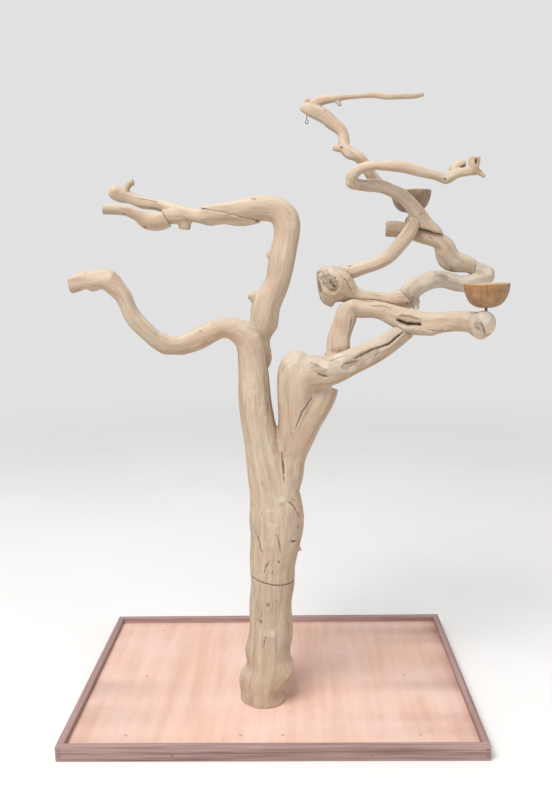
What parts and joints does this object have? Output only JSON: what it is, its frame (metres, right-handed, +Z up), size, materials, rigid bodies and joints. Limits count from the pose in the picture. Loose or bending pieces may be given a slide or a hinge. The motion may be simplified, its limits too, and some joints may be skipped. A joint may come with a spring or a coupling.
{
  "type": "parrot play stand",
  "caption": "Branching driftwood perch tree on a shallow rimmed tray, with swivelling coconut-shell bowls on its branches and a small hanging eye at the top.",
  "frame": {"origin": "middle of the tray's underside, on the floor", "axes": "+X to the right seen from the front, +Y to the back, +Z up; the rims run along X and Y"},
  "size_m": [1.2826, 0.8, 1.8247],
  "materials": {
    "driftwood": "dry, sandblasted, matt",
    "driftwood_grey": "dry, weathered grey, matt",
    "beech_dowel": "turned",
    "rail_timber": "stained, matt",
    "board_plywood": "washed, matt",
    "batten_timber": "planed",
    "zinc_steel": "zinc plated",
    "standoff_steel": "satin",
    "eye_steel": "dull grey",
    "coconut_shell_light": "sanded shell, satin",
    "coconut_shell_dark": "sanded shell, satin"
  },
  "bodies": {
    "base": {"front_rail": "rail_timber", "back_rail": "rail_timber", "left_rail": "rail_timber", "right_rail": "rail_timber", "tray_board": "board_plywood", "left_batten": "batten_timber", "middle_batten": "batten_timber", "right_batten": "batten_timber", "rail_screws": "zinc_steel", "board_screws": "zinc_steel", "trunk_screws": "zinc_steel", "trunk_washers": "zinc_steel", "base_trunk": "driftwood"},
    "spigot": {"spigot_rod": "beech_dowel"},
    "crown": {"crown_trunk": "driftwood", "tall_limb": "driftwood", "upper_left_perch": "driftwood", "lower_left_perch": "driftwood", "column_perch": "driftwood", "stump_branch": "driftwood", "arch_branch": "driftwood_grey", "shoulder_branch": "driftwood", "curved_prop": "driftwood", "upper_branch": "driftwood", "branch_screws": "zinc_steel", "bowl_screws": "zinc_steel", "bowl_washers": "zinc_steel", "bowl_standoffs": "standoff_steel", "screw_eye": "eye_steel"},
    "bowl_front": {"bowl_front": "coconut_shell_light"},
    "bowl_back": {"bowl_back": "coconut_shell_dark"}
  },
  "joints": [
    {"name": "crown_turn", "type": "hinge", "parent": "base", "child": "spigot", "pos_m": [0.008, -0.125, 0.425], "axis": [0.1564, 0, 0.9877], "continuous": true},
    {"name": "crown_lift", "type": "slide", "parent": "spigot", "child": "crown", "axis": [0.1564, 0, 0.9877], "range_m": [0, 0.12]},
    {"name": "bowl_front_turn", "type": "hinge", "parent": "crown", "child": "bowl_front", "pos_m": [0.587, -0.255, 1.2233], "axis": [0, 0, 1], "continuous": true},
    {"name": "bowl_back_turn", "type": "hinge", "parent": "crown", "child": "bowl_back", "pos_m": [0.436, 0.08, 1.4933], "axis": [0, 0, 1], "continuous": true}
  ]
}
